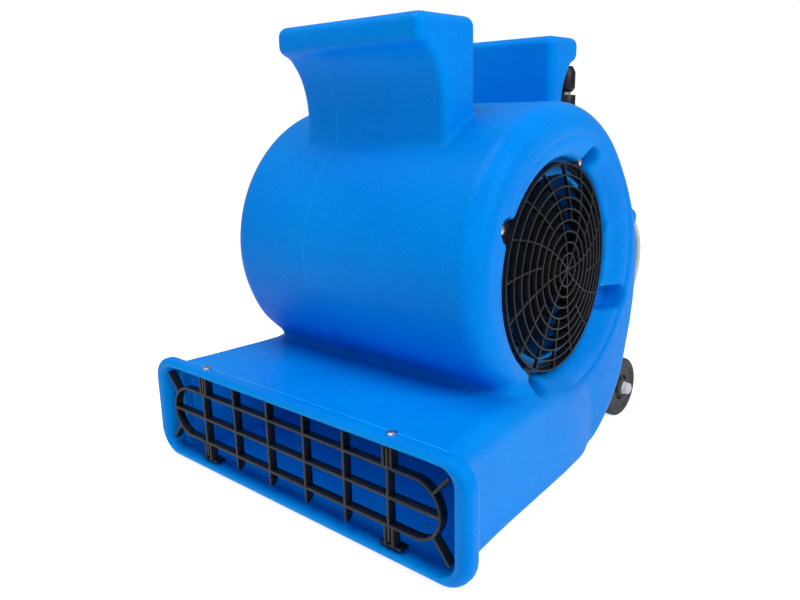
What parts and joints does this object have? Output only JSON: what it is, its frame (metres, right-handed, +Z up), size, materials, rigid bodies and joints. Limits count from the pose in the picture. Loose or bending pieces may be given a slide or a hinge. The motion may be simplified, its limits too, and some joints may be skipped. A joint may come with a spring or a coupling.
{
  "type": "air mover",
  "caption": "Floor-standing carpet-drying blower: plastic scroll housing with a wide grilled outlet, double side inlets, transport wheels and a telescopic pull handle.",
  "frame": {"origin": "on the floor, on the centre plane, below the middle of the bounding box (the fan axis is 6.5 mm ahead of it)", "axes": "+Z up, +Y to the rear (wheels and pull handle), +X to the side of the open inlet; the outlet faces -Y"},
  "size_m": [0.5, 0.549, 0.526],
  "materials": {
    "blue_shell": "satin rotomoulded polyethylene",
    "black_plastic": "satin moulded ABS",
    "dark_rubber": "matte",
    "wheel_rubber": "matte with a moulded hub",
    "zinc": "bright zinc plate",
    "tube_steel": "polished tube",
    "bow_steel": "pale grey powder coat",
    "motor_cast": "bead blasted casting",
    "motor_dark": "varnished laminations",
    "button_red": "gloss",
    "capacitor_shell": "semi-gloss"
  },
  "bodies": {
    "frame_body": {"housing": "blue_shell", "outlet_grille": "black_plastic", "outlet_grille_screws": "zinc", "inlet_grille_right": "black_plastic", "inlet_grille_left": "black_plastic", "inlet_grille_screws": "zinc", "motor_stator": "motor_dark", "motor_inner_bell": "motor_cast", "motor_outer_bell": "motor_cast", "motor_bearings": "zinc", "motor_tie_bolts": "zinc", "motor_mount": "motor_dark", "motor_mount_screws": "zinc", "run_capacitor": "capacitor_shell", "capacitor_clip": "zinc", "control_panel": "black_plastic", "control_panel_screws": "zinc", "rotary_switch": "black_plastic", "cord_gland": "black_plastic", "power_cord": "dark_rubber", "power_plug": "dark_rubber", "cord_strap": "dark_rubber", "wheel_axle": "zinc", "wheel_washers": "zinc", "axle_caps": "zinc", "front_feet": "dark_rubber", "foot_screws": "zinc", "handle_outer_tubes": "tube_steel", "handle_upper_bracket": "black_plastic", "handle_lower_bracket": "black_plastic", "handle_bracket_screws": "zinc", "lifting_bow_right": "bow_steel", "lifting_bow_left": "bow_steel", "lifting_bow_screws": "zinc"},
    "fan": {"impeller": "black_plastic", "impeller_hub": "motor_cast", "hub_set_screw": "zinc", "motor_shaft": "zinc", "motor_rotor": "motor_dark"},
    "right_wheel": {"wheel_right": "wheel_rubber"},
    "left_wheel": {"wheel_left": "wheel_rubber"},
    "pull_handle": {"handle_inner_tubes": "tube_steel", "handle_grip": "black_plastic"},
    "release": {"release_button": "button_red", "release_rods": "zinc"},
    "pin_right": {"lock_pin_right": "zinc"},
    "pin_left": {"lock_pin_left": "zinc"},
    "knob": {"speed_knob": "black_plastic"}
  },
  "joints": [
    {"name": "fan_spin", "type": "hinge", "parent": "frame_body", "child": "fan", "pos_m": [0, -0.0065, 0.254], "axis": [1, 0, 0], "continuous": true},
    {"name": "right_wheel_spin", "type": "hinge", "parent": "frame_body", "child": "right_wheel", "pos_m": [0.1535, 0.2125, 0.042], "axis": [1, 0, 0], "continuous": true},
    {"name": "left_wheel_spin", "type": "hinge", "parent": "frame_body", "child": "left_wheel", "pos_m": [-0.1535, 0.2125, 0.042], "axis": [1, 0, 0], "continuous": true},
    {"name": "handle_slide", "type": "slide", "parent": "frame_body", "child": "pull_handle", "axis": [0, 0, 1], "range_m": [0, 0.3]},
    {"name": "button_press", "type": "slide", "parent": "pull_handle", "child": "release", "axis": [0, 0, -1], "range_m": [0, 0.004]},
    {"name": "pin_right_retract", "type": "slide", "parent": "pull_handle", "child": "pin_right", "axis": [-1, 0, 0], "range_m": [0, 0.0025]},
    {"name": "pin_left_retract", "type": "slide", "parent": "pull_handle", "child": "pin_left", "axis": [1, 0, 0], "range_m": [0, 0.0025]},
    {"name": "knob_turn", "type": "hinge", "parent": "frame_body", "child": "knob", "pos_m": [-0.121, 0.12102, 0.39035], "axis": [0, 0.7431, 0.6691], "range_deg": [-135, 0]}
  ],
  "couplings": [
    {"joint": "pin_right_retract", "follows": "button_press", "ratio": 0.625},
    {"joint": "pin_left_retract", "follows": "button_press", "ratio": 0.625}
  ]
}
